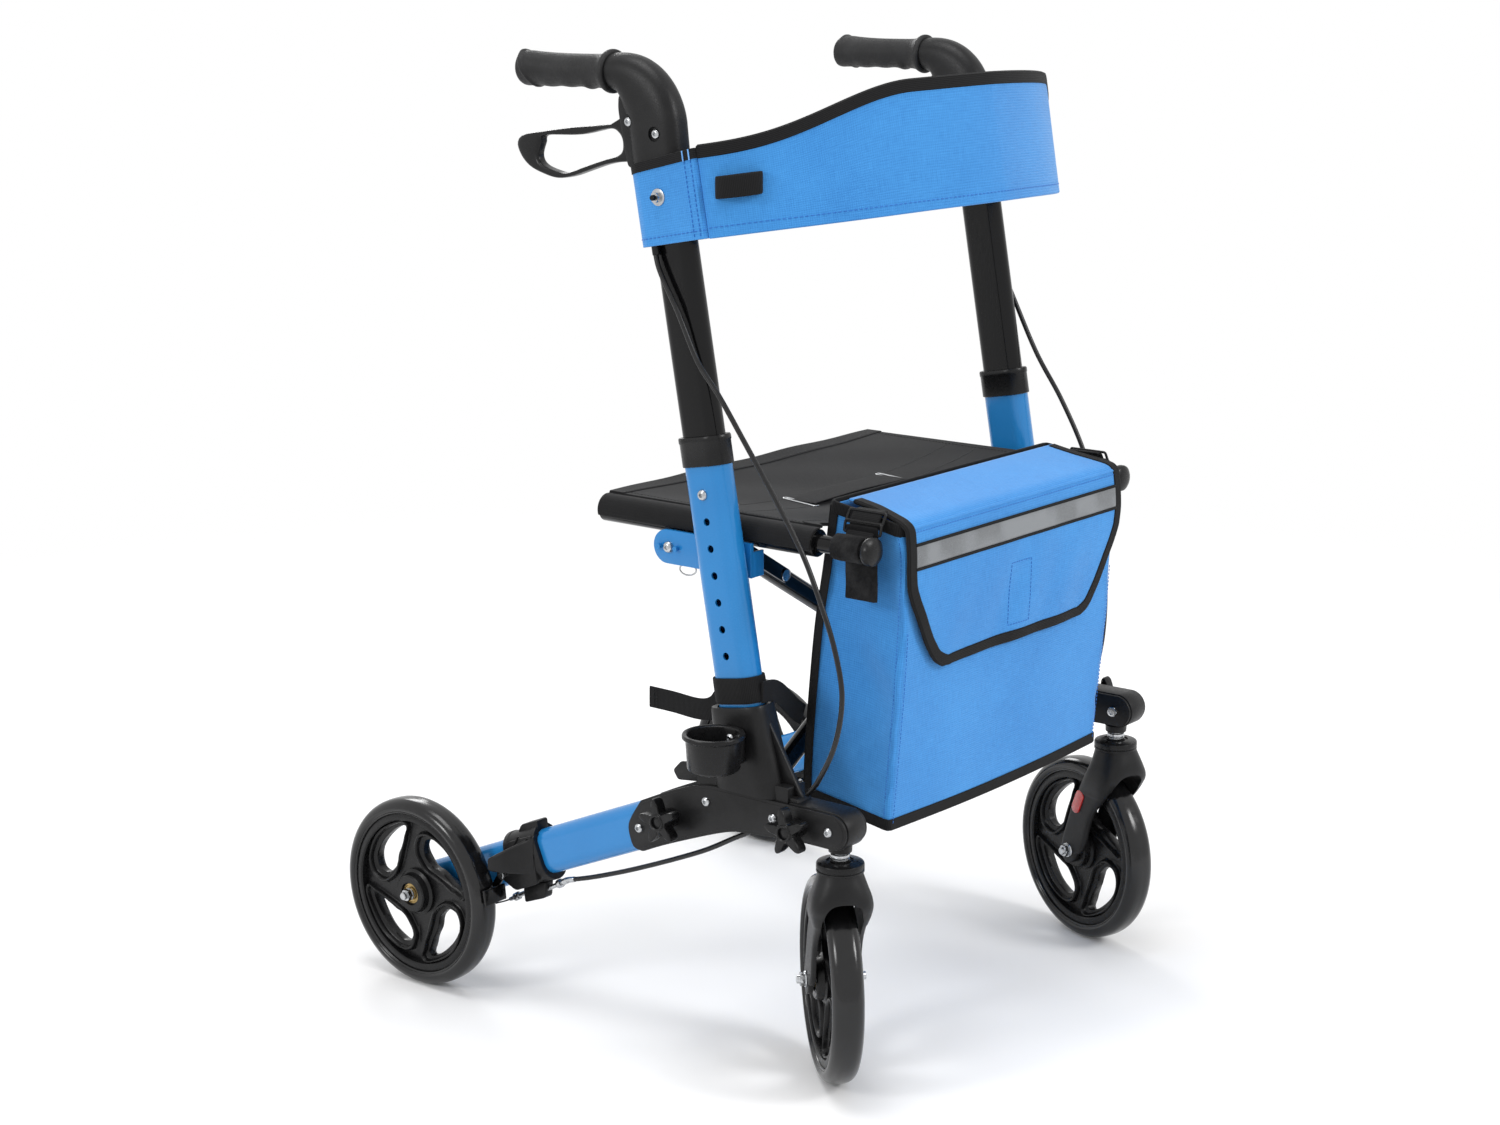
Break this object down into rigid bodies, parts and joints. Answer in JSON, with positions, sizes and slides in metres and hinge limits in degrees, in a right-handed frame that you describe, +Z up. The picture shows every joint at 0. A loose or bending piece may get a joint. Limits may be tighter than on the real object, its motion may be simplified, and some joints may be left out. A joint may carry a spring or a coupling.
{
  "type": "folding rollator",
  "caption": "Folding walking frame on rubber-tyred wheels with a cloth seat over a scissor brace, a backrest band, loop brakes and a shopping bag.",
  "frame": {"origin": "on the floor, under the middle of the rollator's box", "axes": "+Z up, -Y the way the rollator is pushed (casters in front), +X to the user's left"},
  "size_m": [0.6414, 0.668, 0.9649],
  "materials": {
    "black_plastic": "satin moulded glass-filled nylon",
    "blue_paint": "blue metallic powder coat on aluminium tube",
    "black_paint": "gloss black powder coat on aluminium tube",
    "black_rubber": "soft moulded rubber",
    "gloss_tyre": "glossy solid polyurethane tread",
    "steel": "bright zinc plate",
    "blue_cloth": "woven polyester with black binding",
    "black_cloth": "woven black polyester webbing and cloth"
  },
  "bodies": {
    "right_frame": {"right_side_plate_outer": "black_plastic", "right_side_plate_inner": "black_plastic", "right_base_housing": "black_plastic", "right_lower_post": "blue_paint", "right_post_collar": "black_plastic", "right_rear_leg": "blue_paint", "right_rear_bracket": "black_plastic", "right_caster_block": "black_plastic", "right_brake_cable_lower": "black_rubber", "cane_cup": "black_plastic", "hold_strap": "black_cloth"},
    "brace_front": {"cross_brace_front": "black_paint", "brace_centre_bolt": "steel", "left_seat_rail": "black_paint", "left_seat_sleeve": "black_cloth"},
    "brace_rear": {"cross_brace_rear": "black_paint", "right_seat_rail": "black_paint", "right_seat_sleeve": "black_cloth"},
    "left_frame": {"left_side_plate_outer": "black_plastic", "left_side_plate_inner": "black_plastic", "left_base_housing": "black_plastic", "left_lower_post": "blue_paint", "left_post_collar": "black_plastic", "left_rear_leg": "blue_paint", "left_rear_bracket": "black_plastic", "left_caster_block": "black_plastic", "left_brake_cable_lower": "black_rubber"},
    "seat": {"seat_sling": "black_cloth", "bag_body": "blue_cloth"},
    "flap": {"bag_flap": "blue_cloth"},
    "right_handle": {"right_handle_post": "black_paint", "right_handle_elbow": "black_plastic", "right_hand_grip": "black_rubber", "right_backrest_wrap": "blue_cloth", "right_brake_cable_upper": "black_rubber", "backrest_panel": "blue_cloth"},
    "right_lever": {"right_brake_lever": "black_plastic"},
    "right_brake": {"right_brake_arm": "steel"},
    "right_caster": {"right_caster_fork": "black_plastic"},
    "right_caster_wheel": {"right_caster_wheel_rim": "black_plastic", "right_caster_tyre": "gloss_tyre"},
    "right_rear_wheel": {"right_rear_wheel_rim": "black_plastic", "right_rear_tyre": "gloss_tyre"},
    "right_knob_rear": {"right_star_knob_rear": "black_plastic"},
    "right_knob_front": {"right_star_knob_front": "black_plastic"},
    "left_handle": {"left_handle_post": "black_paint", "left_handle_elbow": "black_plastic", "left_hand_grip": "black_rubber", "left_backrest_wrap": "blue_cloth", "left_brake_cable_upper": "black_rubber"},
    "left_lever": {"left_brake_lever": "black_plastic"},
    "left_brake": {"left_brake_arm": "steel"},
    "left_caster": {"left_caster_fork": "black_plastic"},
    "left_caster_wheel": {"left_caster_wheel_rim": "black_plastic", "left_caster_tyre": "gloss_tyre"},
    "left_rear_wheel": {"left_rear_wheel_rim": "black_plastic", "left_rear_tyre": "gloss_tyre"},
    "left_knob_rear": {"left_star_knob_rear": "black_plastic"},
    "left_knob_front": {"left_star_knob_front": "black_plastic"}
  },
  "joints": [
    {"name": "fold", "type": "hinge", "parent": "right_frame", "child": "brace_front", "pos_m": [-0.21267, -0.15236, 0.247], "axis": [0, -1, 0], "range_deg": [0, 47], "deforming": ["seat_sling", "bag_body", "bag_flap", "backrest_panel"]},
    {"name": "brace_cross", "type": "hinge", "parent": "brace_front", "child": "brace_rear", "pos_m": [0.00733, -0.12836, 0.379], "axis": [0, -1, 0], "range_deg": [-94, 0]},
    {"name": "left_frame_turn", "type": "hinge", "parent": "brace_rear", "child": "left_frame", "pos_m": [0.22733, -0.12836, 0.247], "axis": [0, -1, 0], "range_deg": [0, 47]},
    {"name": "seat_level", "type": "hinge", "parent": "brace_front", "child": "seat", "pos_m": [0.22233, -0.15236, 0.5234], "axis": [0, -1, 0], "range_deg": [-47, 0]},
    {"name": "flap", "type": "hinge", "parent": "seat", "child": "flap", "pos_m": [0.00733, -0.23836, 0.5575], "axis": [-1, 0, 0], "range_deg": [0, 110]},
    {"name": "right_handle_slide", "type": "slide", "parent": "right_frame", "child": "right_handle", "axis": [0, 0.1718, 0.9851], "range_m": [-0.175, 0], "deforming": ["right_brake_cable_upper"]},
    {"name": "right_lever", "type": "hinge", "parent": "right_handle", "child": "right_lever", "pos_m": [-0.24067, -0.04986, 0.9015], "axis": [1, 0, 0], "range_deg": [0, 14], "stiffness_Nm_per_rad": 1.5, "springref_deg": -11.46},
    {"name": "right_brake", "type": "hinge", "parent": "right_frame", "child": "right_brake", "pos_m": [-0.25887, 0.13264, 0.1345], "axis": [1, 0, 0], "range_deg": [0, 5.2]},
    {"name": "right_caster_swivel", "type": "hinge", "parent": "right_frame", "child": "right_caster", "pos_m": [-0.23537, -0.28246, 0.235], "axis": [0, 0, 1], "continuous": true},
    {"name": "right_caster_roll", "type": "hinge", "parent": "right_caster", "child": "right_caster_wheel", "pos_m": [-0.20357, -0.24771, 0.1], "axis": [0.7378, -0.6751, 0], "continuous": true},
    {"name": "right_rear_roll", "type": "hinge", "parent": "right_frame", "child": "right_rear_wheel", "pos_m": [-0.27851, 0.23404, 0.1], "axis": [1, 0, 0], "continuous": true},
    {"name": "right_knob_rear_turn", "type": "hinge", "parent": "right_frame", "child": "right_knob_rear", "pos_m": [-0.24067, -0.09496, 0.2427], "axis": [1, 0, 0], "continuous": true},
    {"name": "right_knob_front_turn", "type": "hinge", "parent": "right_frame", "child": "right_knob_front", "pos_m": [-0.24067, -0.24996, 0.265], "axis": [1, 0, 0], "continuous": true},
    {"name": "left_handle_slide", "type": "slide", "parent": "left_frame", "child": "left_handle", "axis": [0, 0.1718, 0.9851], "range_m": [-0.175, 0], "deforming": ["left_brake_cable_upper"]},
    {"name": "left_lever", "type": "hinge", "parent": "left_handle", "child": "left_lever", "pos_m": [0.25533, -0.04986, 0.9015], "axis": [1, 0, 0], "range_deg": [0, 14], "stiffness_Nm_per_rad": 1.5, "springref_deg": -11.46},
    {"name": "left_brake", "type": "hinge", "parent": "left_frame", "child": "left_brake", "pos_m": [0.27353, 0.13264, 0.1345], "axis": [1, 0, 0], "range_deg": [0, 5.2]},
    {"name": "left_caster_swivel", "type": "hinge", "parent": "left_frame", "child": "left_caster", "pos_m": [0.25003, -0.28246, 0.235], "axis": [0, 0, 1], "continuous": true},
    {"name": "left_caster_roll", "type": "hinge", "parent": "left_caster", "child": "left_caster_wheel", "pos_m": [0.26592, -0.23812, 0.1], "axis": [0.9414, -0.3373, 0], "continuous": true},
    {"name": "left_rear_roll", "type": "hinge", "parent": "left_frame", "child": "left_rear_wheel", "pos_m": [0.29317, 0.23404, 0.1], "axis": [1, 0, 0], "continuous": true},
    {"name": "left_knob_rear_turn", "type": "hinge", "parent": "left_frame", "child": "left_knob_rear", "pos_m": [0.25533, -0.09496, 0.2427], "axis": [1, 0, 0], "continuous": true},
    {"name": "left_knob_front_turn", "type": "hinge", "parent": "left_frame", "child": "left_knob_front", "pos_m": [0.25533, -0.24996, 0.265], "axis": [1, 0, 0], "continuous": true}
  ],
  "couplings": [
    {"joint": "brace_cross", "follows": "fold", "ratio": -2},
    {"joint": "left_frame_turn", "follows": "fold", "ratio": 1},
    {"joint": "seat_level", "follows": "fold", "ratio": -1},
    {"joint": "right_brake", "follows": "right_lever", "ratio": 0.35714},
    {"joint": "left_brake", "follows": "left_lever", "ratio": 0.35714},
    {"joint": "left_handle_slide", "follows": "right_handle_slide", "ratio": 1}
  ]
}
